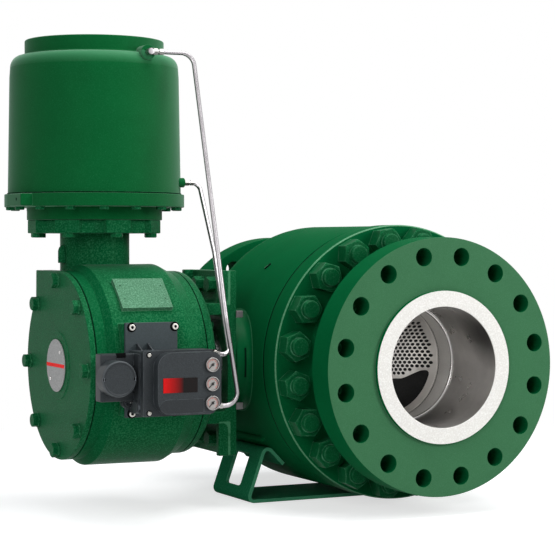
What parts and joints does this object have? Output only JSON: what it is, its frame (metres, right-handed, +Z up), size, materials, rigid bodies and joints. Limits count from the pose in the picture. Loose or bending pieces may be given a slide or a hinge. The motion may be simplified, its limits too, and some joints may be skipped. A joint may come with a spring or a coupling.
{
  "type": "ball control valve",
  "caption": "Flanged ball control valve with a bolted closure, strap foot, side yoke, rotary piston actuator, and a positioner with gauges and tubes.",
  "frame": {"origin": "on the floor under the foot, straight below the ball's centre", "axes": "+Z up; the pipeline runs along Y with the bolted closure and its flange at -Y; the stem points to the actuator at -X"},
  "size_m": [1.1345, 0.838, 1.0155],
  "materials": {
    "green_paint": "satin green enamel on castings and bolting",
    "slate_paint": "satin dark grey powder coat",
    "stainless": "bright drawn",
    "ground_steel": "machined",
    "plated_ball": "polished plating",
    "dial_white": "matt white",
    "pointer_black": "matt black"
  },
  "bodies": {
    "valve_frame": {"valve_body": "green_paint", "front_tailpiece": "green_paint", "front_seat": "ground_steel", "rear_seat": "ground_steel", "trunnion": "green_paint", "bonnet": "ground_steel", "packing_follower": "ground_steel", "foot": "green_paint", "mounting_yoke": "green_paint", "body_nut_01": "green_paint", "body_nut_02": "green_paint", "body_nut_03": "green_paint", "body_nut_04": "green_paint", "body_nut_05": "green_paint", "body_nut_06": "green_paint", "body_nut_07": "green_paint", "body_nut_08": "green_paint", "body_nut_09": "green_paint", "body_nut_10": "green_paint", "body_nut_11": "green_paint", "body_nut_12": "green_paint", "body_nut_13": "green_paint", "body_nut_14": "green_paint", "body_nut_15": "green_paint", "body_nut_16": "green_paint", "body_nut_17": "green_paint", "body_nut_18": "green_paint", "body_nut_19": "green_paint", "body_nut_20": "green_paint", "actuator_housing": "green_paint", "housing_cover": "green_paint", "cylinder": "green_paint", "cylinder_base": "green_paint", "cover_bolt_1": "green_paint", "cover_bolt_2": "green_paint", "cover_bolt_3": "green_paint", "cover_bolt_4": "green_paint", "cover_bolt_5": "green_paint", "cover_bolt_6": "green_paint", "cover_bolt_7": "green_paint", "cover_bolt_8": "green_paint", "positioner_plate": "slate_paint", "positioner_body": "slate_paint", "positioner_cover": "slate_paint", "terminal_cap": "slate_paint", "gauge_1": "dial_white", "gauge_2": "dial_white", "gauge_3": "dial_white", "tube_top_port": "stainless", "tube_low_port": "stainless"},
    "stem_train": {"ball": "plated_ball", "attenuator_dome": "ground_steel", "stem": "ground_steel", "lever": "ground_steel", "indicator_plate": "dial_white"},
    "piston_train": {"piston": "ground_steel", "piston_rod": "ground_steel"},
    "pointer_1": {"gauge_pointer_1": "pointer_black"},
    "pointer_2": {"gauge_pointer_2": "pointer_black"},
    "pointer_3": {"gauge_pointer_3": "pointer_black"}
  },
  "joints": [
    {"name": "stem_turn", "type": "hinge", "parent": "valve_frame", "child": "stem_train", "pos_m": [0, 0, 0.314], "axis": [1, 0, 0], "range_deg": [0, 90]},
    {"name": "piston_slide", "type": "slide", "parent": "valve_frame", "child": "piston_train", "axis": [0, 0, 1], "range_m": [0, 0.17]},
    {"name": "pointer_turn_1", "type": "hinge", "parent": "valve_frame", "child": "pointer_1", "pos_m": [-0.491, -0.33, 0.329], "axis": [0, 1, 0], "range_deg": [0, 270]},
    {"name": "pointer_turn_2", "type": "hinge", "parent": "valve_frame", "child": "pointer_2", "pos_m": [-0.491, -0.33, 0.2905], "axis": [0, 1, 0], "range_deg": [0, 270]},
    {"name": "pointer_turn_3", "type": "hinge", "parent": "valve_frame", "child": "pointer_3", "pos_m": [-0.491, -0.33, 0.252], "axis": [0, 1, 0], "range_deg": [0, 270]}
  ],
  "couplings": [
    {"joint": "piston_slide", "follows": "stem_turn", "m_per_rad": 0.10804}
  ]
}
